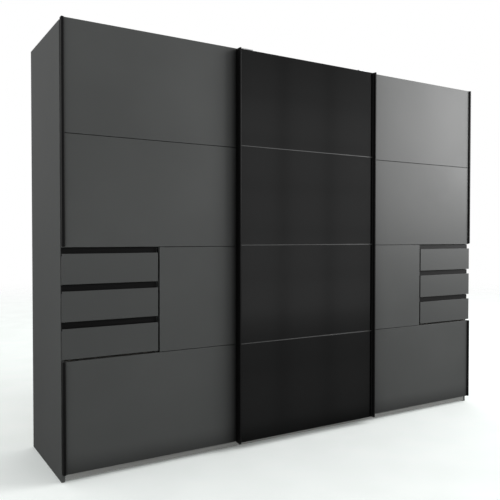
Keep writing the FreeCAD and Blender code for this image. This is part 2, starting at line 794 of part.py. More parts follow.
side_panels()
partitions()
top_and_bottom()
back_panels()
shelves()
shelf_pins()
clothes_rails()
rail_sockets()
base_guide_rail()
rear_base_rail()
feet()
top_track()
track_buffers()
outer_door("left", -1)
outer_door("right", 1)
middle_door()
for side, sign in (("left", -1), ("right", 1)):
    drawer_housing(side, sign)
    for number in (1, 2, 3):
        drawer(side, sign, number)
cabinet_runners()

doc.recompute()

for item in doc.Objects:
    if "Invalid" in item.State or "Error" in item.State:
        raise RuntimeError(f"{item.Label} could not be computed: {item.State}")
for item in nodes:
    if item.Shape.isNull() or not item.Shape.isValid():
        raise RuntimeError(f"{item.Label} has no valid shape")

os.makedirs("parts", exist_ok=True)
for item in nodes:
    item.Shape.exportStep(f"parts/{item.Label}.step")
    solids = len(item.Shape.Solids)
    print(f"{item.Label}: {solids} solid{'s' if solids > 1 else ''}, {item.Shape.Volume / 1e6:.3f} litres")
print(len(nodes), "sub-parts")
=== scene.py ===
# %% [markdown]
# # A wide wardrobe with three sliding doors
#
# The real one is a carcass of dark grey boards with two graphite doors at its sides. Each of
# them has three drawers let into its outer edge. A door of dark glass runs in front of both,
# and black strips along the door edges serve as handles.
#
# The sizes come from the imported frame, which every piece below is built around. We make the
# pieces as meshes with softened edges, because a real edge is never perfectly sharp and the
# thin light line along it is what makes a board look like a board.

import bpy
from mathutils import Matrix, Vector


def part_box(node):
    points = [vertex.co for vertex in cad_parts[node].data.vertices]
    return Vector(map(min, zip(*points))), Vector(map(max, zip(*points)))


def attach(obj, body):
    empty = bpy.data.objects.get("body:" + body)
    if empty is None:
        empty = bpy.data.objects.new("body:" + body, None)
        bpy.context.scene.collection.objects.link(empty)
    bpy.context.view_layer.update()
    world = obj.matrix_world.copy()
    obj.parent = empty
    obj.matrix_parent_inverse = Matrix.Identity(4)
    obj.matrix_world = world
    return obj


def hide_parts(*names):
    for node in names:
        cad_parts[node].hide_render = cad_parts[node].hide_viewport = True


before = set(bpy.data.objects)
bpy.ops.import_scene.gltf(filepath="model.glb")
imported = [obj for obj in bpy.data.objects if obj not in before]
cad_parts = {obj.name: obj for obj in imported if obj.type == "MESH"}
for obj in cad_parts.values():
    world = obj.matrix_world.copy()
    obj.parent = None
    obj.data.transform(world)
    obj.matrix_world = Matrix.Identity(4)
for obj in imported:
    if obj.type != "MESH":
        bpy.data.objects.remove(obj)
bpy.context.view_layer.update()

import math

import bmesh
import bpy
from mathutils import Matrix, Vector

# %% [markdown]
# ## Reading where each board is
#
# One CAD node may hold several boards, for instance all the shelves. Their corners tell us
# where each one lies. We weld the corners that share a place, walk along the edges from
# vertex to vertex, and so find every separate lump with its lowest and highest corner.

# %% Find the separate lumps of a node
WELD = 1e-5


def lumps(node):
    """The boxes (lowest corner, highest corner) of a node's separate solids, left to right."""
    mesh = bmesh.new()
    mesh.from_mesh(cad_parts[node].data)
    bmesh.ops.remove_doubles(mesh, verts=mesh.verts, dist=WELD)
    waiting = set(mesh.verts)
    boxes = []
    while waiting:
        edge_of_search = [waiting.pop()]
        found = []
        while edge_of_search:
            vertex = edge_of_search.pop()
            found.append(vertex.co.copy())
            for edge in vertex.link_edges:
                other = edge.other_vert(vertex)
                if other in waiting:
                    waiting.remove(other)
                    edge_of_search.append(other)
        low = Vector(min(point[axis] for point in found) for axis in range(3))
        high = Vector(max(point[axis] for point in found) for axis in range(3))
        boxes.append((low, high))
    mesh.free()
    return sorted(boxes, key=lambda box: tuple(round(value, 4) for value in box[0]))


print("shelves:", len(lumps("shelves")), "feet and glides:", len(lumps("feet")))

# %% [markdown]
# ## Boards with softened edges
#
# A cube with a bevel gives a board. Inside each face we add a narrow frame of faces, the rim,
# and write down which corners touch the edge. Materials read that number later, so that wear
# and a painted highlight, a slightly paler colour, can follow the edges without a texture map.

# %% Start a shape and add a board to it
MILLIMETRE = 0.001
EDGE = 0.8 * MILLIMETRE
RIM = 6 * MILLIMETRE
SQUARE = 0.9999
LARGEST_SHARE = 0.3


def new_shape():
    """An empty mesh in which every face corner can hold how near it is to an edge."""
    shape = bmesh.new()
    shape.loops.layers.float.new("rim")
    return shape


def mark_rim(shape, faces, value=1.0):
    layer = shape.loops.layers.float["rim"]
    for face in faces:
        for corner in face.loops:
            corner[layer] = value


def each_once(items):
    """The items in the order they came, each only once. A set would mix them at every run."""
    return list(dict.fromkeys(items))


def round_edges(shape, edges, width):
    """Rounds edges in two steps and returns the new faces."""
    return bmesh.ops.bevel(shape, geom=edges, offset=width, segments=2, profile=0.5,
                           affect="EDGES", clamp_overlap=True)["faces"]


def faces_around(faces):
    """All faces that share a corner with one of the given faces."""
    return each_once(face for given in faces for vertex in given.verts
                     for face in vertex.link_faces)


def add_board(shape, low, high, edge=EDGE, finish=0, rim=RIM):
    """A board between two corners, with rounded edges and a marked rim. Returns its vertices."""
    low, high = Vector(low), Vector(high)
    size = high - low
    vertices = bmesh.ops.create_cube(shape, size=1)["verts"]
    for vertex in vertices:
        vertex.co = Vector(low[i] + size[i] * (vertex.co[i] + 0.5) for i in range(3))
    edges = each_once(line for vertex in vertices for line in vertex.link_edges)
    everything = faces_around(round_edges(shape, edges, min(edge, min(size) * LARGEST_SHARE)))
    for face in everything:
        face.normal_update()
    sides = [face for face in everything if max(abs(value) for value in face.normal) > SQUARE]
    mark_rim(shape, everything)
    for face in everything:
        face.smooth = face not in sides
        face.material_index = finish
    layer = shape.loops.layers.float["rim"]
    for side in sides:
        spans = sorted(max(v.co[i] for v in side.verts) - min(v.co[i] for v in side.verts)
                       for i in range(3))
        frame_faces = bmesh.ops.inset_individual(
            shape, faces=[side], thickness=min(rim, spans[1] * LARGEST_SHARE))["faces"]
        inner = set(side.verts)
        for face in (side, *frame_faces):
            face.smooth = False
            face.material_index = finish
            for corner in face.loops:
                corner[layer] = 0.0 if corner.vert in inner else 1.0
        everything += frame_faces
    return each_once(vertex for face in everything for vertex in face.verts)


trial = new_shape()
add_board(trial, (0, 0, 0), (0.6, 0.016, 2.0))
print("one board has", len(trial.faces), "faces")
trial.free()

# %% [markdown]
# ## Profiles, plates and tubes
#
# Strips, rails and brackets already have the right section in the frame. We read the section
# from there into a new mesh of our own, join the small triangles back into whole faces, and
# round every sharp edge. This keeps the pieces exact and still takes the hardness off them.

# %% Add a softened copy of a solid
FLAT_ANGLE, SHARP_ANGLE = math.radians(0.5), math.radians(32)


def add_softened(shape, node, edge=0.4 * MILLIMETRE):
    """The node's solids with rounded edges. Returns their vertices."""
    before = set(shape.verts)

    def fresh():
        return [vertex for vertex in shape.verts if vertex not in before]

    def fresh_lines():
        return each_once(line for vertex in fresh() for line in vertex.link_edges)

    shape.from_mesh(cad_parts[node].data)
    bmesh.ops.remove_doubles(shape, verts=fresh(), dist=WELD)
    bmesh.ops.dissolve_limit(shape, angle_limit=FLAT_ANGLE, verts=fresh(),
                             edges=fresh_lines())
    for face in {face for vertex in fresh() for face in vertex.link_faces}:
        bends = [line.calc_face_angle(0.0) for line in face.edges]
        face.smooth = sum(math.radians(1) < bend < SHARP_ANGLE for bend in bends) >= 2
    corners = [line for line in fresh_lines() if len(line.link_faces) == 2
               and line.calc_face_angle() > SHARP_ANGLE]
    rounded = set(round_edges(shape, corners, edge))
    faces = {face for vertex in fresh() for face in vertex.link_faces}
    mark_rim(shape, faces, 0.0)
    mark_rim(shape, rounded)
    for face in faces:
        face.material_index = 0
        face.smooth = face.smooth or face in rounded
    return fresh()


trial = new_shape()
add_softened(trial, "left_door_handle_strips")
print("the left door's strips have", len(trial.faces), "faces")
trial.free()

# %% [markdown]
# ## Turned parts and screws
#
# Bearings, screw heads and nails are round. We draw half of the section as a list of points,
# each a radius and a height, and turn it round its axis, just as a lathe does. A cross recess
# makes a screw head readable even when it is small. It is two thin bars on the head in a
# near-black finish, painted shade in place of the recess's depth.

# %% Turn a section round an axis
UP = Vector((0, 0, 1))


def turn_to(direction, place):
    """The matrix that stands a piece made along +Z on a place, pointing in a direction."""
    return Matrix.Translation(Vector(place)) @ UP.rotation_difference(
        Vector(direction)).to_matrix().to_4x4()


def add_turned(shape, section, place, direction, steps=20, finish=0):
    """A solid of revolution. section is a list of (radius, height) from axis to axis."""
    matrix = turn_to(direction, place)
    rings = []
    for radius, height in section:
        if radius == 0:
            rings.append([shape.verts.new(matrix @ Vector((0, 0, height)))])
            continue
        angles = [2 * math.pi * step / steps for step in range(steps)]
        rings.append([shape.verts.new(matrix @ Vector(
            (radius * math.cos(a), radius * math.sin(a), height))) for a in angles])
    faces = []
    for first, second in zip(rings, rings[1:]):
        for step in range(steps):
            after = (step + 1) % steps
            if len(first) == 1:
                corners = [first[0], second[after], second[step]]
            elif len(second) == 1:
                corners = [first[step], first[after], second[0]]
            else:
                corners = [first[step], first[after], second[after], second[step]]
            faces.append(shape.faces.new(corners))
    bmesh.ops.recalc_face_normals(shape, faces=faces)
    for face in faces:
        face.smooth = True
        face.material_index = finish


def add_screw(shape, place, direction, radius=3.6 * MILLIMETRE, finish=0, recess_shade=1):
    """A pan-head screw with a cross recess, standing proud of its surface."""
    high = radius * 0.55
    add_turned(shape, [(0, high), (radius * 0.55, high * 0.94), (radius * 0.86, high * 0.6),
                       (radius, high * 0.15), (radius, -radius * 0.3), (0, -radius * 0.3)],
               place, direction, 16, finish)
    matrix = turn_to(direction, place)
    # The cross recess: two thin bars in the near-black finish, painted shade for a recess.
    long, thin = radius * 0.5, radius * 0.13
    for wide, deep in ((long, thin), (thin, long)):
        bar = add_board(shape, (-wide, -deep, high * 0.6), (wide, deep, high * 1.02),
                        edge=radius * 0.03, finish=recess_shade, rim=thin * 0.2)
        bmesh.ops.transform(shape, matrix=matrix, verts=bar)


trial = new_shape()
add_screw(trial, (0, 0, 0), (0, -1, 0))
print("a screw has", len(trial.faces), "faces")
trial.free()

# %% [markdown]
# ## From a shape to a piece
#
# A piece is a mesh with a name, its finishes and the body it rides on. It also says which CAD
# nodes it stands for, so that they are hidden, and its name goes on the list of pieces made.

# %% Finish a piece
made = []


def finish_piece(name, shape, body, finishes, node):
    """Makes the shape an object on a body, in place of a CAD node."""
    mesh = bpy.data.meshes.new(name)
    shape.to_mesh(mesh)
    shape.free()
    piece = bpy.data.objects.new(name, mesh)
    bpy.context.scene.collection.objects.link(piece)
    for finish in finishes:
        mesh.materials.append(finish)
    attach(piece, body)
    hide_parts(node)
    made.append(name)


def soften_piece(name, body, finish, node, edge):
    """A piece that is a softened copy of its node in one finish. edge is in millimetres."""
    shape = new_shape()
    add_softened(shape, node, edge * MILLIMETRE)
    finish_piece(name, shape, body, [finish], node)


print("ready to build")

# %% [markdown]
# ## Building with shader nodes
#
# Every finish is a small network of nodes. A short helper that makes a node, sets its options
# and joins its inputs keeps each network readable: a value is typed in, a socket is linked.

# %% A helper for node networks
class Network:
    """Adds nodes to a material, group or light and links them."""

    def __init__(self, tree):
        self.tree = tree
        self.count = 0

    def add(self, kind, inputs=None, **options):
        node = self.tree.nodes.new("ShaderNode" + kind)
        node.location = (220 * (self.count % 8), -260 * (self.count // 8))
        self.count += 1
        for option, value in options.items():
            setattr(node, option, value)
        for name, value in (inputs or {}).items():
            if isinstance(value, bpy.types.NodeSocket):
                self.link(value, node.inputs[name])
            else:
                node.inputs[name].default_value = value
        return node

    def link(self, value, socket):
        self.tree.links.new(value, socket)

    def maths(self, operation, *values, clamp=False):
        return self.add("Math", dict(enumerate(values)), operation=operation,
                        use_clamp=clamp).outputs[0]

    def times(self, first, second, clamp=False):
        return self.maths("MULTIPLY", first, second, clamp=clamp)

    def inverse(self, value):
        """What is left of 1 after the value is taken away."""
        return self.maths("SUBTRACT", 1.0, value)

    def between(self, share, low, high):
        """Goes evenly from low to high while the share goes from 0 to 1."""
        return self.maths("MULTIPLY_ADD", share, high - low, low)

    def spread(self, value, low, high, to_low=0.0, to_high=1.0):
        """Stretches a value's range from low..high to to_low..to_high, smoothly and clamped."""
        return self.add("MapRange", {"Value": value, "From Min": low, "From Max": high,
                                     "To Min": to_low, "To Max": to_high},
                        interpolation_type="SMOOTHSTEP").outputs["Result"]

    def mix(self, share, first, second):
        """A colour between first and second."""
        return self.add("Mix", {0: share, 6: first, 7: second}, data_type="RGBA").outputs[2]

    def noise(self, place, scale, detail=2.0, roughness=0.5):
        return self.add("TexNoise", {"Vector": place, "Scale": scale, "Detail": detail,
                                     "Roughness": roughness}).outputs["Fac"]

    def stretched(self, place, factors):
        """Coordinates multiplied by three factors, which draws a pattern out along an axis."""
        return self.add("VectorMath", {0: place, 1: factors}, operation="MULTIPLY").outputs[0]

    def own_place(self):
        """Coordinates in metres that stay with the piece, shifted from board to board."""
        place = self.add("TexCoord").outputs["Object"]
        shift = self.add("NewGeometry").outputs["Random Per Island"]
        moved = self.add("VectorMath", {0: (3.1, 7.7, 5.3), "Scale": shift}, operation="SCALE")
        return self.add("VectorMath", {0: place, 1: moved.outputs[0]}, operation="ADD").outputs[0]


print("helper ready")

# %% [markdown]
# ## Effects as node groups
#
# Wear, dust, grain and smears show up on many finishes. Each of them is one node group with
# named inputs and outputs, so a finish only has to place it and say how strong it is. The
# groups put out masks and heights, and the shader itself stays in the material.

# %% Start a node group
def new_effect(name, inputs, outputs):
    """A node group. inputs maps names to default values, outputs is a list of names."""
    group = bpy.data.node_groups.new(name, "ShaderNodeTree")
    for label, value in inputs.items():
        socket = group.interface.new_socket(label, in_out="INPUT", socket_type="NodeSocketFloat")
        socket.default_value = value
    for label in outputs:
        group.interface.new_socket(label, in_out="OUTPUT", socket_type="NodeSocketFloat")
    network = Network(group)
    given = group.nodes.new("NodeGroupInput").outputs
    result = group.nodes.new("NodeGroupOutput").inputs
    return network, given, result


def place_effect(network, name, **values):
    """Puts an effect's group into a network and returns its outputs."""
    node = network.tree.nodes.new("ShaderNodeGroup")
    node.node_tree = bpy.data.node_groups[name]
    for label, value in values.items():
        node.inputs[label.replace("_", " ").capitalize()].default_value = value
    return node.outputs


# %% [markdown]
# ** Worn rims and painted highlight.** Edges are touched, wiped and knocked, so their finish
# turns a little paler; the paler line is also a painted highlight, light caught along the edge.
# The rim mark in the mesh says where an edge is, and a noise breaks the line up.

# %% Worn rims and painted highlight
net, given, result = new_effect("Rim wear and highlight", {"Strength": 0.5, "Breaks": 40.0}, ["Mask"])
rim = net.add("Attribute", attribute_name="rim").outputs["Fac"]
near = net.maths("POWER", rim, 2.5)
breaks = net.spread(net.noise(net.own_place(), given["Breaks"], 4.0, 0.6), 0.38, 0.66)
# The mask pales the rims: partly wear, partly a painted highlight along the edges.
net.link(net.times(net.times(near, breaks), given["Strength"], True), result["Mask"])
print("group:", net.tree.name)

# %% [markdown]
# **Settled dust.** Dust lies on what faces up. The normal's height picks those surfaces and
# two noises, one broad and one fine, keep the layer uneven.

# %% Settled dust
net, given, result = new_effect("Settled dust", {"Amount": 0.5, "Patches": 4.0}, ["Mask"])
normal = net.add("NewGeometry").outputs["Normal"]
upward = net.spread(net.add("SeparateXYZ", {0: normal}).outputs["Z"], 0.55, 0.98)
place = net.own_place()
broad = net.spread(net.noise(place, given["Patches"], 3.0), 0.3, 0.75, 0.25, 1.0)
fine = net.spread(net.noise(place, 900.0, 2.0), 0.35, 0.75, 0.45, 1.0)
layer = net.times(net.times(upward, broad), fine)
net.link(net.times(layer, given["Amount"], True), result["Mask"])
print("group:", net.tree.name)

# %% [markdown]
# **Pressed grain.** A decor foil or melamine face is pressed against a plate with a very fine
# texture. Close up it is a field of tiny dimples. From afar only soft clouds are left.

# %% Pressed grain
net, given, result = new_effect(
    "Pressed grain", {"Fineness": 1400.0, "Clouds": 2.2}, ["Cloud", "Pores", "Height"])
place = net.own_place()
cloud = net.spread(net.noise(place, given["Clouds"], 5.0, 0.55), 0.25, 0.75)
dimples = net.add("TexVoronoi", {"Vector": place, "Scale": given["Fineness"]}).outputs["Distance"]
crumbs = net.noise(place, net.times(given["Fineness"], 0.4), 3.0, 0.65)
height = net.maths("MULTIPLY_ADD", dimples, 0.55, net.times(crumbs, 0.6))
net.link(cloud, result["Cloud"])
net.link(net.spread(crumbs, 0.5, 0.78), result["Pores"])
net.link(height, result["Height"])
print("group:", net.tree.name)

# %% [markdown]
# **Drawn lines.** Extruded aluminium and rolled steel carry fine lines along their length.
# We squeeze a noise in two directions and stretch it in the third.

# %% Drawn lines
net, given, result = new_effect(
    "Drawn lines", {"Along x": 1.0, "Along y": 1.0, "Along z": 1.0}, ["Lines", "Streaks"])
along = net.add("CombineXYZ", {"X": given["Along x"], "Y": given["Along y"],
                               "Z": given["Along z"]}).outputs[0]
place = net.stretched(net.own_place(), along)
net.link(net.noise(place, 2600.0, 2.0, 0.6), result["Lines"])
net.link(net.spread(net.noise(place, 160.0, 3.0), 0.35, 0.7), result["Streaks"])
print("group:", net.tree.name)

# %% [markdown]
# **Woven threads.** The inside of such wardrobes is printed and pressed like linen. Three
# noises, each drawn out along one axis, cross each other. On any face two of them show as
# threads, so the weave turns the corners of a board without a seam.

# %% Woven threads
net, given, result = new_effect(
    "Woven threads", {"Threads": 700.0, "Length": 0.05}, ["Weave", "Height"])
place = net.own_place()
thread_sum = None
for axis in range(3):
    direction = net.add("CombineXYZ", {i: given["Length"] if i == axis else 1.0
                                       for i in range(3)}).outputs[0]
    threads = net.noise(net.stretched(place, direction), given["Threads"], 1.5, 0.5)
    thread_sum = threads if thread_sum is None else net.maths("ADD", thread_sum, threads)
net.link(net.spread(thread_sum, 1.15, 1.85), result["Weave"])
net.link(net.times(thread_sum, 0.4), result["Height"])
print("group:", net.tree.name)

# %% [markdown]
# **Hand marks.** Smooth dark surfaces show where hands and cloths have been. A broad noise
# says where, and a smeared one gives the wiping strokes.

# %% Hand marks
net, given, result = new_effect("Hand marks", {"Coverage": 0.5, "Size": 3.0}, ["Mask"])
place = net.own_place()
where = net.spread(net.noise(place, given["Size"], 3.0), 0.42, 0.72)
strokes = net.noise(net.stretched(place, (1.0, 1.0, 0.35)), 38.0, 5.0, 0.65)
marks = net.times(where, net.spread(strokes, 0.35, 0.7))
net.link(net.times(marks, given["Coverage"], True), result["Mask"])
print("group:", net.tree.name, "- in all", len(bpy.data.node_groups), "groups")

# %% [markdown]
# Three of these masks go on most finishes, so each gets a short way to place it.

# %% Short ways to place the masks
def place_rim_wear_and_highlight(net, strength, breaks):
    return place_effect(net, "Rim wear and highlight", strength=strength, breaks=breaks)["Mask"]


def dusted(net, amount, patches):
    return place_effect(net, "Settled dust", amount=amount, patches=patches)["Mask"]


def handled(net, coverage, size):
    return place_effect(net, "Hand marks", coverage=coverage, size=size)["Mask"]


print("masks: worn, dusted, handled")

# %% [markdown]
# ## The finishes
#
# Each finish starts with a Principled shader. What is the same all over, such as the metallic
# value of steel, is typed into the shader. Only what changes over the surface comes from nodes.

# %% Start a finish
NEUTRAL = (1.0, 1.0, 1.0)


def grey(value, tint=(0.96, 1.0, 0.98)):
    """A near-neutral colour, very slightly towards green as on the real boards."""
    return (value * tint[0], value * tint[1], value * tint[2], 1.0)


def new_finish(name, **settings):
    """A material with one Principled shader, whose plain values are set here."""
    finish = bpy.data.materials.new(name)
    finish.use_nodes = True
    finish.node_tree.nodes.clear()
    net = Network(finish.node_tree)
    shader = net.add("BsdfPrincipled", {label.replace("_", " "): value
                                        for label, value in settings.items()})
    output = net.add("OutputMaterial")
    net.link(shader.outputs[0], output.inputs["Surface"])
    return finish, net, shader


def feed(net, shader, colour=None, roughness=None, height=None, depth=0.00005, strength=0.5):
    """Links what changes over the surface to the shader."""
    if colour is not None:
        net.link(colour, shader.inputs["Base Color"])
    if roughness is not None:
        net.link(roughness, shader.inputs["Roughness"])
    if height is not None:
        bump = net.add("Bump", {"Strength": strength, "Distance": depth, "Height": height})
        net.link(bump.outputs[0], shader.inputs["Normal"])


# %% [markdown]
# ** Graphite board.** The doors, the drawer fronts and the outside of the carcass share one
# dark grey decor. It is satin: straight on it looks flat, and at a low angle it catches the
# light. The carcass and the hidden backs are a little rougher than the fronts. Beside the
# proud strips the fronts darken softly: this is painted shade, their colour goes darker by how
# sheltered a spot is.

# %% Graphite board
def graphite_board(name, shade, low_gloss, high_gloss, wear_and_highlight=0.4, dust=0.2, corners=0.0):
    finish, net, shader = new_finish(name, Specular_IOR_Level=0.5)
    grain = place_effect(net, "Pressed grain", fineness=1500.0, clouds=1.6)
    rim_wear_and_highlight = place_rim_wear_and_highlight(net, wear_and_highlight, 30.0)
    dusty = dusted(net, dust, 3.0)
    hands = handled(net, 0.6, 2.4)
    body = net.mix(grain["Cloud"], grey(shade * 0.93), grey(shade * 1.06))
    body = net.mix(net.times(grain["Pores"], 0.25), body, grey(shade * 0.7))
    # Paler rims: wear, and a painted highlight along the edges.
    body = net.mix(rim_wear_and_highlight, body, grey(shade * 2.1))
    body = net.mix(dusty, body, grey(0.22, (1.0, 0.985, 0.95)))
    if corners > 0:
        # Painted shade: the colour darkens towards black where nearby parts shelter the spot.
        painted_shade = net.add("AmbientOcclusion", {"Distance": corners}, samples=8).outputs["AO"]
        body = net.mix(net.maths("POWER", painted_shade, 2.0), grey(0.0), body)
    gloss = net.between(grain["Cloud"], low_gloss, high_gloss)
    gloss = net.maths("MULTIPLY_ADD", hands, 0.05, gloss)
    gloss = net.maths("MULTIPLY_ADD", dusty, 0.35, gloss, clamp=True)
    feed(net, shader, body, gloss, grain["Height"], 0.00004, 0.35)
    return finish


# The fronts get painted shade within 0.14 m of proud parts.
satin_graphite = graphite_board("satin_graphite", 0.0475, 0.37, 0.43, corners=0.14)
carcass_graphite = graphite_board("carcass_graphite", 0.071, 0.46, 0.53)
edge_graphite = graphite_board("edge_graphite", 0.06, 0.34, 0.42, wear_and_highlight=0.8)
print("finishes so far:", len(bpy.data.materials))

# %% [markdown]
# **Linen decor.** Inside, the boards are a warm grey linen print with a woven press. The
# threads change the colour a little and the height a little, and dust lies on the shelves.

# %% Linen decor
def linen_board(name, light, dark, threads):
    finish, net, shader = new_finish(name)
    woven = place_effect(net, "Woven threads", threads=threads, length=0.04)
    grain = place_effect(net, "Pressed grain", fineness=900.0, clouds=2.5)
    rim_wear_and_highlight = place_rim_wear_and_highlight(net, 0.35, 25.0)
    dusty = dusted(net, 0.3, 4.0)
    body = net.mix(woven["Weave"], dark, light)
    body = net.mix(net.times(grain["Cloud"], 0.22), body, dark)
    # Paler rims: wear, and a painted highlight along the edges.
    body = net.mix(rim_wear_and_highlight, body, light)
    body = net.mix(dusty, body, (0.56, 0.55, 0.52, 1.0))
    gloss = net.maths("MULTIPLY_ADD", woven["Weave"], -0.12, 0.62)
    feed(net, shader, body, gloss, woven["Height"], 0.0001, 0.6)
    return finish


linen_decor = linen_board("linen_decor", (0.47, 0.445, 0.40, 1.0), (0.335, 0.315, 0.28, 1.0), 650.0)
linen_edge = linen_board("linen_edge", (0.43, 0.41, 0.37, 1.0), (0.36, 0.34, 0.30, 1.0), 900.0)

# %% [markdown]
# **Thin fibreboard.** The back is thin board: its raw side faces the wall. Pressed fibres
# show as short stretched flecks, paler and darker, in every direction on the face.

# %% Thin fibreboard
finish, net, shader = new_finish("thin_fibreboard", Specular_IOR_Level=0.25)
place = net.own_place()
swirl = net.add("TexNoise", {"Vector": place, "Scale": 14.0, "Detail": 2.0}).outputs["Color"]
bent = net.add("VectorMath", {0: swirl, 1: (0.05, 0.05, 0.05), 2: place},
               operation="MULTIPLY_ADD").outputs[0]
fibres = net.noise(net.stretched(bent, (1.0, 1.0, 0.22)), 420.0, 4.0, 0.7)
flecks = net.spread(net.noise(bent, 160.0, 4.0, 0.7), 0.5, 0.72)
grain = place_effect(net, "Pressed grain", fineness=500.0, clouds=1.3)
rim_wear_and_highlight = place_rim_wear_and_highlight(net, 0.5, 60.0)
body = net.mix(net.spread(fibres, 0.3, 0.72), (0.25, 0.235, 0.205, 1.0), (0.40, 0.375, 0.33, 1.0))
body = net.mix(net.times(flecks, 0.5), body, (0.17, 0.15, 0.125, 1.0))
body = net.mix(net.times(grain["Cloud"], 0.35), body, (0.34, 0.315, 0.27, 1.0))
# Paler rims: wear, and a painted highlight along the edges.
body = net.mix(rim_wear_and_highlight, body, (0.46, 0.43, 0.37, 1.0))
feed(net, shader, body, net.spread(fibres, 0.2, 0.8, 0.62, 0.85), fibres, 0.0002, 0.5)
thin_fibreboard = finish
print("finishes so far:", len(bpy.data.materials))

# %% [markdown]
# ** Anodised aluminium.** Handle strips and drawer grips are extruded and anodised black, the
# separating bars and the base rail grey. All have die lines along their length, and where a
# hand rubs the rim the layer is a touch brighter; the brighter rim is also a painted highlight.

# %% Anodised aluminium
def anodised(name, shade, along, low_gloss, high_gloss, tint=NEUTRAL, wear_and_highlight=0.3, dust=0.2,
             **settings):
    finish, net, shader = new_finish(name, **settings)
    drawn = place_effect(net, "Drawn lines", along_x=along[0], along_y=along[1], along_z=along[2])
    rim_wear_and_highlight = place_rim_wear_and_highlight(net, wear_and_highlight, 45.0)
    dusty = dusted(net, dust, 8.0)
    hands = handled(net, 0.7, 5.0)
    body = net.mix(drawn["Streaks"], grey(shade * 0.86, tint), grey(shade * 1.12, tint))
    # Paler rims: wear, and a painted highlight along the edges.
    body = net.mix(rim_wear_and_highlight, body, grey(shade * 2.2 + 0.01, tint))
    body = net.mix(dusty, body, grey(0.25, (1.0, 0.98, 0.95)))
    gloss = net.between(drawn["Streaks"], low_gloss, high_gloss)
    gloss = net.maths("MULTIPLY_ADD", hands, 0.08, gloss, clamp=True)
    feed(net, shader, body, gloss, drawn["Lines"], 0.00003, 0.3)
    return finish


UPRIGHT, SIDEWAYS = (1.0, 1.0, 0.01), (0.01, 1.0, 1.0)
black_strip = anodised("black_strip", 0.003, UPRIGHT, 0.42, 0.5, wear_and_highlight=0.2, Specular_IOR_Level=0.18)
black_grip = anodised("black_grip", 0.002, SIDEWAYS, 0.34, 0.42, wear_and_highlight=0.1, dust=0.05,
                      Specular_IOR_Level=0.22)
grey_bar = anodised("grey_bar", 0.075, SIDEWAYS, 0.34, 0.42, Metallic=0.4)
bright_rail = anodised("bright_rail", 0.24, SIDEWAYS, 0.44, 0.52, tint=(1.0, 1.0, 0.97),
                       dust=0.35, Specular_IOR_Level=0.2)
track_metal = anodised("track_metal", 0.55, SIDEWAYS, 0.3, 0.42, dust=0.3, Metallic=1.0)
print("finishes so far:", len(bpy.data.materials))

# %% [markdown]
# **Dark glass.** The middle door is covered with panes painted black from behind. The colour
# lies behind a smooth surface that mirrors the room. Glass is never quite flat, so a very
# broad bump bends the reflection slightly, and wiping marks dull it here and there.

# %% Dark glass
def dark_pane(name, shade, tint, low_gloss):
    finish, net, shader = new_finish(name, IOR=1.5)
    place = net.own_place()
    waves = net.noise(place, 1.7, 1.0)
    hands = handled(net, 0.8, 2.0)
    dusty = dusted(net, 0.4, 20.0)
    rim_wear_and_highlight = place_rim_wear_and_highlight(net, 0.5, 70.0)
    specks = net.spread(net.noise(place, 1500.0, 2.0), 0.68, 0.8)
    body = net.mix(waves, grey(shade * 0.8, tint), grey(shade * 1.2, tint))
    body = net.mix(net.times(specks, 0.03), body, grey(0.3))
    # Paler rims: wear, and a faint painted highlight along the edges.
    body = net.mix(net.times(rim_wear_and_highlight, 0.02), body, grey(0.3, (0.8, 1.0, 0.9)))
    body = net.mix(dusty, body, grey(0.2))
    gloss = net.maths("MULTIPLY_ADD", hands, 0.05, low_gloss)
    feed(net, shader, body, gloss, waves, 0.0006, 0.25)
    return finish


black_glass = dark_pane("black_glass", 0.0022, (0.95, 1.0, 1.0), 0.08)
glass_edge = dark_pane("glass_edge", 0.006, (0.55, 1.0, 0.8), 0.16)

# %% [markdown]
# **Steel.** Brackets, runners, screws and pins are zinc plated: a bluish grey with a soft
# patchwork of crystals. The clothes rails are chromed and almost a mirror.

# %% Steel
def plated_steel(name, shade, low_gloss, high_gloss, crystals, wear_and_highlight=0.3):
    finish, net, shader = new_finish(name, Metallic=1.0)
    place = net.own_place()
    cells = net.add("TexVoronoi", {"Vector": place, "Scale": crystals}).outputs["Color"]
    patch = net.add("SeparateColor", {0: cells}).outputs[0]
    rim_wear_and_highlight = place_rim_wear_and_highlight(net, wear_and_highlight, 60.0)
    dusty = dusted(net, 0.3, 12.0)
    hands = handled(net, 0.7, 9.0)
    body = net.mix(patch, grey(shade * 0.9, (0.98, 1.0, 1.03)), grey(shade * 1.08, NEUTRAL))
    # Paler rims: wear, and a painted highlight along the edges.
    body = net.mix(rim_wear_and_highlight, body, grey(min(shade * 1.4, 0.9)))
    body = net.mix(dusty, body, grey(0.3))
    gloss = net.between(patch, low_gloss, high_gloss)
    gloss = net.maths("MULTIPLY_ADD", hands, 0.15, gloss, clamp=True)
    feed(net, shader, body, gloss, patch, 0.00002, 0.2)
    return finish


zinc_steel = plated_steel("zinc_steel", 0.5, 0.3, 0.44, 220.0)
chrome_steel = plated_steel("chrome_steel", 0.68, 0.06, 0.12, 30.0, wear_and_highlight=0.1)
print("finishes so far:", len(bpy.data.materials))

# %% [markdown]
# **Moulded plastic and rubber.** Feet, guides and sockets are black plastic with the fine
# eroded texture of their mould, the rollers white nylon, the buffers soft black rubber.

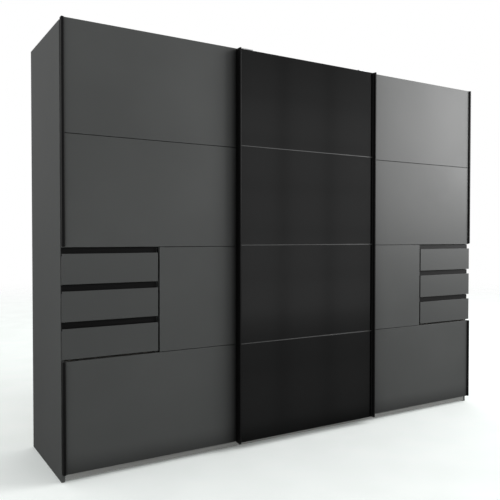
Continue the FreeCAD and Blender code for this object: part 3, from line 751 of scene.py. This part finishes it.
# %% Moulded plastic
def moulded(name, shade, tint, low_gloss, high_gloss, texture, wear_and_highlight=0.4):
    finish, net, shader = new_finish(name)
    grain = place_effect(net, "Pressed grain", fineness=texture, clouds=18.0)
    rim_wear_and_highlight = place_rim_wear_and_highlight(net, wear_and_highlight, 80.0)
    dusty = dusted(net, 0.4, 15.0)
    body = net.mix(grain["Cloud"], grey(shade * 0.9, tint), grey(shade * 1.1, tint))
    # Paler rims: wear, and a painted highlight along the edges.
    body = net.mix(rim_wear_and_highlight, body, grey(min(shade * 1.5 + 0.01, 0.9), tint))
    body = net.mix(dusty, body, grey(0.26))
    gloss = net.between(grain["Cloud"], low_gloss, high_gloss)
    feed(net, shader, body, gloss, grain["Height"], 0.00008, 0.5)
    return finish


black_plastic = moulded("black_plastic", 0.018, NEUTRAL, 0.42, 0.52, 1800.0)
# A near-black finish used as painted shade: for screw recesses and for the door board's face seen
# through the grooves.
painted_shade_black = moulded("painted_shade_black", 0.004, NEUTRAL, 0.6, 0.7, 2500.0, wear_and_highlight=0.0)
white_nylon = moulded("white_nylon", 0.68, (1.0, 0.985, 0.93), 0.32, 0.4, 2200.0)
soft_rubber = moulded("soft_rubber", 0.022, NEUTRAL, 0.75, 0.85, 1200.0)
print("finishes in all:", len(bpy.data.materials))

# %% [markdown]
# ## The carcass
#
# Sides, partitions, top, bottom and shelves are sawn boards. Their cut edges are closed with a
# thin glued band, which is why a fine line runs beside each edge. We make the band as its own
# strip, and give the outside of a board another finish than the inside.

# %% Boards with glued edge bands
BAND = 0.8 * MILLIMETRE
FRONT, REAR, TOP, UNDERSIDE = (1, -1), (1, 1), (2, 1), (2, -1)


def add_banded(shape, low, high, sides, core=0, band=1, edge=EDGE):
    """A board whose given sides, each an axis and a sign, are closed with a thin band."""
    low, high = Vector(low), Vector(high)
    for axis, sign in sides:
        strip_low, strip_high = low.copy(), high.copy()
        if sign < 0:
            strip_high[axis] = low[axis] = low[axis] + BAND
        else:
            strip_low[axis] = high[axis] = high[axis] - BAND
        add_board(shape, strip_low, strip_high, edge=0.35 * MILLIMETRE, finish=band)
    return add_board(shape, low, high, edge=edge, finish=core)


def paint_side(vertices, direction, finish):
    """Gives the faces that look in a direction another finish."""
    direction = Vector(direction)
    for face in {face for vertex in vertices for face in vertex.link_faces}:
        face.normal_update()
        if face.normal.dot(direction) > 0.7:
            face.material_index = finish


BOARDS = [carcass_graphite, edge_graphite, linen_decor, linen_edge]
OUTSIDE, OUTSIDE_BAND, INSIDE, INSIDE_BAND = range(4)

def banded_piece(name, body, node, sides, core, band, other_side=None, other=None):
    """A banded board in its node's box. One side may have another finish."""
    shape = new_shape()
    low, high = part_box(node)
    board = add_banded(shape, low, high, sides, core, band)
    if other_side:
        paint_side(board, other_side, other)
    finish_piece(name, shape, body, BOARDS, node)


for side, inward in (("left", 1), ("right", -1)):
    banded_piece(f"{side}_side_board", "carcass", f"side_panel_{side}", (FRONT, REAR, TOP),
                 OUTSIDE, OUTSIDE_BAND, (inward, 0, 0), INSIDE)
for side in ("left", "right"):
    banded_piece(f"{side}_upright_board", "carcass", f"partition_{side}", (FRONT,),
                 INSIDE, INSIDE_BAND)
for place, outward in (("top", (0, 0, 1)), ("bottom", (0, 0, -1))):
    banded_piece(f"{place}_board", "carcass", f"{place}_panel", (FRONT,),
                 INSIDE, OUTSIDE_BAND, outward, OUTSIDE)

shape = new_shape()
for low, high in lumps("shelves"):
    add_banded(shape, low, high, (FRONT,), INSIDE, INSIDE_BAND)
finish_piece("shelf_boards", shape, "carcass", BOARDS, "shelves")
print("carcass pieces:", made)

# %% [markdown]
# ## The drawer housings
#
# Each outer bay has a housing that carries the drawer runners: an upright beside the drawers,
# a lid above them and a floor below them. The frame holds upright, lid and side as one solid,
# so we work their places out from its box and the boards' thickness.

# %% Drawer housings
THICK = 16 * MILLIMETRE

for side, inward in (("left", 1), ("right", -1)):
    node = f"drawer_housing_{side}"
    low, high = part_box(node)
    floor = next(box for box in lumps(node) if box[1].z - box[0].z < 2 * THICK)
    upright_low, upright_high = low.copy(), high.copy()
    upright_high.z -= THICK
    if inward > 0:
        upright_low.x = high.x - THICK
    else:
        upright_high.x = low.x + THICK
    shape = new_shape()
    add_banded(shape, upright_low, upright_high, (FRONT,), INSIDE, OUTSIDE_BAND)
    add_banded(shape, (low.x, low.y, high.z - THICK), high, (FRONT,), INSIDE, OUTSIDE_BAND)
    add_banded(shape, *floor, (FRONT,), INSIDE, OUTSIDE_BAND)
    finish_piece(f"{side}_drawer_housing", shape, "carcass", BOARDS, node)
print("housing floor at", round(floor[0].z, 3))

# %% [markdown]
# ## The back
#
# Three thin boards close the back. They are nailed to the uprights and to the top and bottom
# boards, so a row of small nail heads follows each of their edges.

# %% Nailed back boards
NAIL_HIGH = 0.7 * MILLIMETRE
NAIL_SPACING = 0.16
NAIL_INSET, NAIL_RADIUS = 8 * MILLIMETRE, 2.2 * MILLIMETRE
nail_head = [(0, NAIL_HIGH), (1.6 * MILLIMETRE, NAIL_HIGH * 0.9), (NAIL_RADIUS, NAIL_HIGH * 0.4),
             (NAIL_RADIUS, -NAIL_HIGH), (0, -NAIL_HIGH)]

shape = new_shape()
nails = 0
for low, high in lumps("back_panels"):
    add_board(shape, low, (high.x, high.y - NAIL_HIGH, high.z), edge=0.5 * MILLIMETRE)
    wide, tall = high.x - low.x - 2 * NAIL_INSET, high.z - low.z - 2 * NAIL_INSET
    across, up = round(wide / NAIL_SPACING), round(tall / NAIL_SPACING)
    places = {(i, j) for i in range(across + 1) for j in (0, up)}
    places |= {(i, j) for i in (0, across) for j in range(up + 1)}
    for i, j in sorted(places):
        x = low.x + NAIL_INSET + wide * i / across
        z = low.z + NAIL_INSET + tall * j / up
        add_turned(shape, nail_head, (x, high.y - NAIL_HIGH, z), (0, 1, 0), 10, 1)
        nails += 1
finish_piece("back_boards", shape, "carcass", [thin_fibreboard, zinc_steel], "back_panels")
print("nails:", nails)

# %% [markdown]
# ## The base
#
# A light grey rail runs along the front between the feet. It carries the guides of the doors
# in its channels. At the back a plain board stands in its place.

# %% Base rails and feet
soften_piece("base_rail", "carcass", bright_rail, "base_guide_rail", 0.5)

banded_piece("rear_base_board", "carcass", "rear_base_rail", (UNDERSIDE,),
             OUTSIDE, OUTSIDE_BAND)

shape = new_shape()
for low, high in lumps("feet"):
    middle, radius, tall = (low + high) / 2, (high.x - low.x) / 2, high.z - low.z
    if tall < radius:
        section = [(0, 0), (radius * 0.9, 0), (radius, tall * 0.3), (radius, tall * 0.75),
                   (radius * 0.93, tall), (0, tall)]
    else:
        section = [(0, 0), (radius * 0.97, 0), (radius, MILLIMETRE), (radius, 5 * MILLIMETRE),
                   (radius * 0.94, 7 * MILLIMETRE), (radius * 0.66, 11 * MILLIMETRE),
                   (radius * 0.58, 16 * MILLIMETRE), (radius * 0.58, tall * 0.42),
                   (radius * 0.72, tall * 0.45), (radius * 0.72, tall * 0.62),
                   (radius * 0.6, tall * 0.65), (radius * 0.6, tall - 12 * MILLIMETRE),
                   (radius * 0.75, tall - 7 * MILLIMETRE), (radius, tall - 4 * MILLIMETRE),
                   (radius, tall), (0, tall)]
    add_turned(shape, section, (middle.x, middle.y, low.z), (0, 0, 1), 40)
finish_piece("feet_and_glides", shape, "carcass", [black_plastic], "feet")
print("pieces so far:", len(made))

# %% [markdown]
# ## Rails and small fittings inside
#
# Coats hang on oval chromed tubes in plastic sockets, and the shelves lie on metal pins. The
# section of each comes from the frame, so we only soften it and give it its metal.

# %% Clothes rails, sockets and shelf pins
FITTINGS = (
    ("coat_rails", chrome_steel, "clothes_rails", 0.3),
    ("rail_holders", black_plastic, "rail_sockets", 0.6),
    ("shelf_supports", zinc_steel, "shelf_pins", 0.4),
    ("end_buffers", soft_rubber, "track_buffers", 1.0))

for name, finish, node, edge in FITTINGS:
    soften_piece(name, "carcass", finish, node, edge)
print("pieces so far:", len(made))

# %% [markdown]
# ## The track on top
#
# The doors hang from a double track on the top board. It is screwed down between its two ribs
# about every third of a metre.

# %% Top track
TRACK_BASE = 2 * MILLIMETRE
SCREWS = 9

shape = new_shape()
add_softened(shape, "top_track", 0.4 * MILLIMETRE)
low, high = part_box("top_track")
rib_middle = (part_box("left_door_roller_1")[0].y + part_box("middle_door_roller_1")[1].y) / 2
for number in range(SCREWS):
    x = low.x + (high.x - low.x) * (number + 0.5) / SCREWS
    add_screw(shape, (x, rib_middle, low.z + TRACK_BASE), (0, 0, 1), finish=1, recess_shade=2)
finish_piece("door_track", shape, "carcass", [track_metal, zinc_steel, painted_shade_black],
             "top_track")
print("track screws at y", round(rib_middle, 4))

# %% [markdown]
# ## The outer doors
#
# A graphite door is a board with four thin panels on its face. The grooves between them are
# real gaps, and the board's face behind them is painted near black as painted shade, so the
# grooves read dark. At the drawers the board has a notch.

# %% Outer doors
for side in ("left", "right"):
    door = f"{side}_door"
    shape = new_shape()
    leaf = add_softened(shape, f"{door}_board", EDGE)
    # The board's front face, seen only through the grooves, gets the near-black of painted shade.
    paint_side(leaf, (0, -1, 0), 1)
    finish_piece(f"{door}_leaf", shape, door, [carcass_graphite, painted_shade_black],
                 f"{door}_board")
    shape = new_shape()
    for low, high in lumps(f"{door}_face_panels"):
        add_board(shape, low, high, edge=0.6 * MILLIMETRE)
    finish_piece(f"{door}_faces", shape, door, [satin_graphite], f"{door}_face_panels")
print("pieces so far:", len(made))

# %% [markdown]
# ## The glass door
#
# Four panes with ground edges are glued to a board. From the front only black glass shows, but
# the narrow edge lets light in and looks greenish, so it has a finish of its own. Thin grey
# bars close the joints.

# %% Glass door
banded_piece("middle_door_leaf", "middle_door", "middle_door_board", (TOP,),
             OUTSIDE, OUTSIDE_BAND)

shape = new_shape()
for low, high in lumps("middle_door_glass"):
    pane = add_board(shape, low, high, edge=0.7 * MILLIMETRE, finish=1, rim=2 * MILLIMETRE)
    paint_side(pane, (0, -1, 0), 0)
finish_piece("glass_panes", shape, "middle_door", [black_glass, glass_edge],
             "middle_door_glass")

shape = new_shape()
for low, high in lumps("middle_door_separating_bars"):
    add_board(shape, low, high, edge=0.4 * MILLIMETRE, rim=1 * MILLIMETRE)
finish_piece("separating_bars", shape, "middle_door", [grey_bar],
             "middle_door_separating_bars")
print("panes:", len(lumps("middle_door_glass")))

# %% [markdown]
# ## Handle strips
#
# Black aluminium profiles wrap the door edges and stand proud, so that a hand can push or pull
# the door. On the outer doors each strip stops above and below the drawers.

# %% Handle strips
DOORS = ("left_door", "right_door", "middle_door")

for door in DOORS:
    soften_piece(f"{door}_strips", door, black_strip, f"{door}_handle_strips", 0.6)
print("pieces so far:", len(made))

# %% [markdown]
# ## Hangers, guides and rollers
#
# Every door hangs from two steel plates with nylon rollers, and two plastic guides keep its
# lower edge in the base rail. The screws that hold them sit on the plates' inner faces.

# %% Hangers and guides
PLATE = 2.5 * MILLIMETRE
HANGER_SCREWS, HANGER_SPREAD = (12 * MILLIMETRE, 36 * MILLIMETRE), 22 * MILLIMETRE
GUIDE_SCREWS, GUIDE_SPREAD = (32 * MILLIMETRE, 10 * MILLIMETRE), 15 * MILLIMETRE


def add_plate_screws(shape, box, heights, spread):
    """Two columns of screws on a plate that lies against a door's back."""
    low, high = box
    middle = (low.x + high.x) / 2
    for height in heights:
        for side in (-spread, spread):
            add_screw(shape, (middle + side, low.y + PLATE, low.z + height), (0, 1, 0),
                      3 * MILLIMETRE, finish=1, recess_shade=2)


for door in DOORS:
    shape = new_shape()
    add_softened(shape, f"{door}_hangers", 0.5 * MILLIMETRE)
    for box in lumps(f"{door}_hangers"):
        add_plate_screws(shape, box, HANGER_SCREWS, HANGER_SPREAD)
    finish_piece(f"{door}_hanger_plates", shape, door, [zinc_steel, zinc_steel, painted_shade_black],
                 f"{door}_hangers")
    shape = new_shape()
    add_softened(shape, f"{door}_guides", 0.5 * MILLIMETRE)
    for box in lumps(f"{door}_guides"):
        tall = box[1].z - box[0].z
        add_plate_screws(shape, box, [tall - drop for drop in GUIDE_SCREWS], GUIDE_SPREAD)
    finish_piece(f"{door}_guide_hooks", shape, door, [black_plastic, zinc_steel, painted_shade_black],
                 f"{door}_guides")
print("pieces so far:", len(made))

# %% [markdown]
# A roller is a grooved nylon wheel round a small steel ball bearing. The bearing shows as a
# ring with a dark shield on each side of the wheel.

# %% Rollers
BEARING_PROUD = 0.25 * MILLIMETRE
BORE_RADIUS, RING_RADIUS, CHAMFER = 3.2 * MILLIMETRE, 6.8 * MILLIMETRE, 0.4 * MILLIMETRE
bearing = [(BORE_RADIUS, -BEARING_PROUD), (BORE_RADIUS, BEARING_PROUD * 0.6),
           (BORE_RADIUS + CHAMFER, BEARING_PROUD), (RING_RADIUS - CHAMFER, BEARING_PROUD),
           (RING_RADIUS, BEARING_PROUD * 0.6), (RING_RADIUS, -BEARING_PROUD),
           (BORE_RADIUS, -BEARING_PROUD)]

for door in DOORS:
    for number in (1, 2):
        node = f"{door}_roller_{number}"
        low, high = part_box(node)
        middle = (low + high) / 2
        shape = new_shape()
        add_softened(shape, node, 0.3 * MILLIMETRE)
        for end, outward in ((low.y, -1), (high.y, 1)):
            add_turned(shape, bearing, (middle.x, end, middle.z), (0, outward, 0), 28, 1)
        finish_piece(f"{door}_wheel_{number}", shape, node, [white_nylon, zinc_steel], node)
print("pieces so far:", len(made))

# %% [markdown]
# ## Drawers
#
# The front of a drawer is a graphite board with a black aluminium channel behind its upper
# edge, which the fingers reach into. The box behind it has thin sides, a thin bottom and a
# rolled steel slide along each side.

# %% A bar of constant section
def add_bar(shape, outline, start, end, finish, edge=0.25 * MILLIMETRE):
    """Draws an outline of (x, z) points out from y = start to y = end and softens it."""
    bottom = [shape.verts.new((x, start, z)) for x, z in outline]
    top = [shape.verts.new((x, end, z)) for x, z in outline]
    count = len(outline)
    faces = [shape.faces.new(bottom), shape.faces.new(list(reversed(top)))]
    for i in range(count):
        j = (i + 1) % count
        faces.append(shape.faces.new((bottom[j], bottom[i], top[i], top[j])))
    bmesh.ops.recalc_face_normals(shape, faces=faces)
    edges = each_once(line for face in faces for line in face.edges)
    rounded = set(round_edges(shape, edges, edge))
    everything = faces_around(rounded)
    mark_rim(shape, everything, 0.0)
    mark_rim(shape, rounded)
    for face in everything:
        face.material_index = finish
        face.smooth = face in rounded

# %% [markdown]
# All six drawers follow one recipe. A box is four banded boards, a thin bottom and two slides,
# and screws through its front board hold the drawer's face.

# %% Drawers
BOX_BOARD = 12 * MILLIMETRE
SLIDE_SKIN = 1.2 * MILLIMETRE
SLIDE_LIP = 4.5 * MILLIMETRE
SCREW_SIDE, SCREW_RISE = 50 * MILLIMETRE, 30 * MILLIMETRE


def add_box_boards(shape, low, high):
    """The four upright boards of a drawer box."""
    add_banded(shape, low, (low.x + BOX_BOARD, high.y, high.z), (TOP,))
    add_banded(shape, (high.x - BOX_BOARD, low.y, low.z), high, (TOP,))
    for start in (low.y, high.y - BOX_BOARD):
        add_banded(shape, (low.x + BOX_BOARD, start, low.z),
                   (high.x - BOX_BOARD, start + BOX_BOARD, high.z), (TOP,))


def add_slide(shape, low, high, box_middle):
    """A C-shaped slide, open on the side away from the drawer box."""
    wall, open_side = (high.x, low.x) if box_middle > high.x else (low.x, high.x)
    inward = math.copysign(1, open_side - wall)
    inner, lip = wall + SLIDE_SKIN * inward, open_side - SLIDE_SKIN * inward
    lower_half = [(wall, 0), (open_side, 0), (open_side, SLIDE_LIP), (lip, SLIDE_LIP),
                  (lip, SLIDE_SKIN), (inner, SLIDE_SKIN)]
    outline = [(x, low.z + rise) for x, rise in lower_half]
    outline += [(x, high.z - rise) for x, rise in reversed(lower_half)]
    add_bar(shape, outline, low.y, high.y, 2)


for side in ("left", "right"):
    for number in (1, 2, 3):
        drawer = f"drawer_{side}_{number}"
        soften_piece(f"{drawer}_face", drawer, satin_graphite, f"{drawer}_front", 0.8)
        soften_piece(f"{drawer}_channel", drawer, black_grip, f"{drawer}_grip", 0.4)
        shape = new_shape()
        solids = sorted(lumps(f"{drawer}_box"), key=lambda box: (box[1] - box[0]).x)
        box_low, box_high = solids[-1]
        box_middle = (box_low.x + box_high.x) / 2
        add_box_boards(shape, box_low, box_high)
        for low, high in solids[:-1]:
            if high.x - low.x > BOX_BOARD:
                add_board(shape, low, high)
            else:
                add_slide(shape, low, high, box_middle)
        for x in (box_low.x + SCREW_SIDE, box_high.x - SCREW_SIDE):
            for z in (box_low.z + SCREW_RISE, box_high.z - SCREW_RISE):
                add_screw(shape, (x, box_low.y + BOX_BOARD, z), (0, 1, 0), finish=2, recess_shade=3)
        finish_piece(f"{drawer}_tray", shape, drawer,
                     [linen_decor, linen_edge, zinc_steel, painted_shade_black], f"{drawer}_box")

soften_piece("drawer_runners", "carcass", zinc_steel, "cabinet_runners", 0.25)
print("pieces in all:", len(made))

# %% [markdown]
# ## The studio
#
# The wardrobe stands on a pale floor in front of white. The floor is a wide disc that fades
# out at its rim, so that no horizon line shows.

# %% Floor
FLOOR_RADIUS = 14.0
bpy.ops.mesh.primitive_circle_add(vertices=96, radius=FLOOR_RADIUS, fill_type="NGON")
floor = bpy.context.object
floor.name = "studio_floor"
finish, net, shader = new_finish("pale_floor", Roughness=0.9, Specular_IOR_Level=0.1,
                                 Emission_Color=grey(1.0), Emission_Strength=0.1)
place = net.add("TexCoord").outputs["Object"]
away = net.add("VectorMath", {0: place}, operation="LENGTH").outputs["Value"]
body = net.mix(net.spread(net.noise(place, 3.0, 3.0), 0.3, 0.7), grey(0.9), grey(0.94))
net.link(body, shader.inputs["Base Color"])
net.link(net.spread(away, 4.0, FLOOR_RADIUS * 0.95, 1.0, 0.0), shader.inputs["Alpha"])
floor.data.materials.append(finish)
floor.visible_glossy = False
print("floor radius", FLOOR_RADIUS)

# %% [markdown]
# **The room.** Seen directly it is white. It lights matt surfaces evenly, but what glossy
# surfaces mirror is a darker hall with a wall of soft lamps in panes to the front right. The
# bars between the panes are what draws the faint lattice into the dark glass. We use the
# direction of a ray: its sideways and upward share for each metre that it goes forwards.

# %% World
AMBIENT = 0.9
PANE_WIDE, PANE_HIGH = 0.1155, 0.087
FIRST_BAR, LEVEL_BAR = 0.687, 0.0106
UPRIGHT_HALF, CROSSBAR_HALF = 0.012, 0.008
UPRIGHT_SHADE, CROSSBAR_SHADE = 0.34, 0.12

world = bpy.data.worlds.new("soft_studio")
bpy.context.scene.world = world
world.use_nodes = True
world.node_tree.nodes.clear()
world.cycles.sampling_method = "NONE"
net = Network(world.node_tree)
direction = net.add("SeparateXYZ", {0: net.add("TexCoord").outputs["Generated"]}).outputs
forward = net.maths("MAXIMUM", net.times(direction["Y"], -1.0), 0.02)
sideways = net.maths("DIVIDE", direction["X"], forward)
upwards = net.maths("DIVIDE", direction["Z"], forward)


def bar_mask(value, first, spacing, half_width, softness):
    """1 on bars that repeat every spacing, 0 between them, with soft sides."""
    turns = net.maths("DIVIDE", net.maths("SUBTRACT", value, first), spacing)
    nearest = net.maths("ABSOLUTE", net.maths("SUBTRACT", turns, net.maths("ROUND", turns)))
    reach = half_width / spacing
    return net.spread(nearest, reach - softness, reach + softness, 1.0, 0.0)


def blend(share, rest, full):
    """rest where the share is 0, full where it is 1."""
    return net.maths("ADD", net.times(share, full), net.times(net.inverse(share), rest))


uprights = bar_mask(sideways, FIRST_BAR, PANE_WIDE, UPRIGHT_HALF, 0.07)
crossbars = bar_mask(upwards, LEVEL_BAR, PANE_HIGH, CROSSBAR_HALF, 0.1)
lattice = net.times(net.inverse(net.times(uprights, UPRIGHT_SHADE)),
                    net.inverse(net.times(crossbars, CROSSBAR_SHADE)))

# The wall brightens upwards in two steps and fades a little towards its top.
low_step = net.spread(upwards, -0.392, -0.352, 0.03, 0.25)
high_step = net.spread(upwards, -0.205, -0.13, 0.0, 0.3)
top_fade = net.spread(upwards, 0.2, 0.36, 1.0, 0.6)
wall = net.times(net.times(net.maths("ADD", low_step, high_step), top_fade), lattice)

inside_wall = net.times(net.spread(sideways, 0.2, 0.5), net.spread(sideways, 2.4, 1.5))
hall = net.spread(direction["Z"], -0.3, 0.3, 0.11, 0.44)
path = net.add("LightPath").outputs
ambient = blend(path["Is Glossy Ray"], AMBIENT, blend(inside_wall, hall, wall))
seen = blend(path["Is Camera Ray"], ambient, 1.0)
backdrop = net.add("Background", {"Color": grey(1.0, NEUTRAL), "Strength": seen})
net.link(backdrop.outputs[0], net.add("OutputWorld").inputs["Surface"])
print("world nodes:", len(world.node_tree.nodes))

# %% [markdown]
# **The lamp.** A large soft box stands to the far right. The satin doors catch it at a low
# angle, which makes the right one bright towards its upper corner. The room alone evens out
# the top and keeps the back readable.

# %% The soft box
LAMP_PLACE, LAMP_TARGET = Vector((6.55, -3.55, 3.45)), Vector((1.0, -0.3, 1.6))
LAMP_WIDE, LAMP_HIGH = 4.1, 4.4
RADIANCE = 7.4

lamp = bpy.data.lights.new("right_softbox", "AREA")
lamp.shape = "RECTANGLE"
lamp.size, lamp.size_y = LAMP_WIDE, LAMP_HIGH
lamp.energy = RADIANCE * math.pi * LAMP_WIDE * LAMP_HIGH
softbox = bpy.data.objects.new("right_softbox", lamp)
bpy.context.scene.collection.objects.link(softbox)
softbox.location = LAMP_PLACE
softbox.rotation_mode = "QUATERNION"
softbox.rotation_quaternion = (LAMP_TARGET - LAMP_PLACE).to_track_quat("-Z", "Y")
softbox.visible_camera = False
print("soft box at", [round(value, 3) for value in softbox.location])

# %% [markdown]
# ## The camera
#
# The picture is taken from the left, a little above the middle of the doors, with a normal
# lens. Pitch is almost level, so the uprights stay nearly parallel.

# %% Camera
LENS, SENSOR = 44.5, 36.0
YAW, PITCH, ROLL = -31.43, 88.78, 0.04
CAMERA_PLACE = (-2.0655, -3.0446, 1.1099)
camera_data = bpy.data.cameras.new("main_camera")
camera_data.lens, camera_data.sensor_width = LENS, SENSOR
camera = bpy.data.objects.new("main_camera", camera_data)
bpy.context.scene.collection.objects.link(camera)
camera.matrix_world = (Matrix.Translation(CAMERA_PLACE)
                       @ Matrix.Rotation(math.radians(YAW), 4, "Z")
                       @ Matrix.Rotation(math.radians(PITCH), 4, "X")
                       @ Matrix.Rotation(math.radians(ROLL), 4, "Z"))
bpy.context.scene.camera = camera
bpy.context.scene.view_settings.view_transform = "Standard"
print("camera at", [round(value, 3) for value in camera.location])

# %% [markdown]
# ## The pieces made
#
# The visible model is meant to fill the same box as the frame. Only the number of pieces is
# printed.

# %% Print the number of pieces
print("pieces:", len(made))
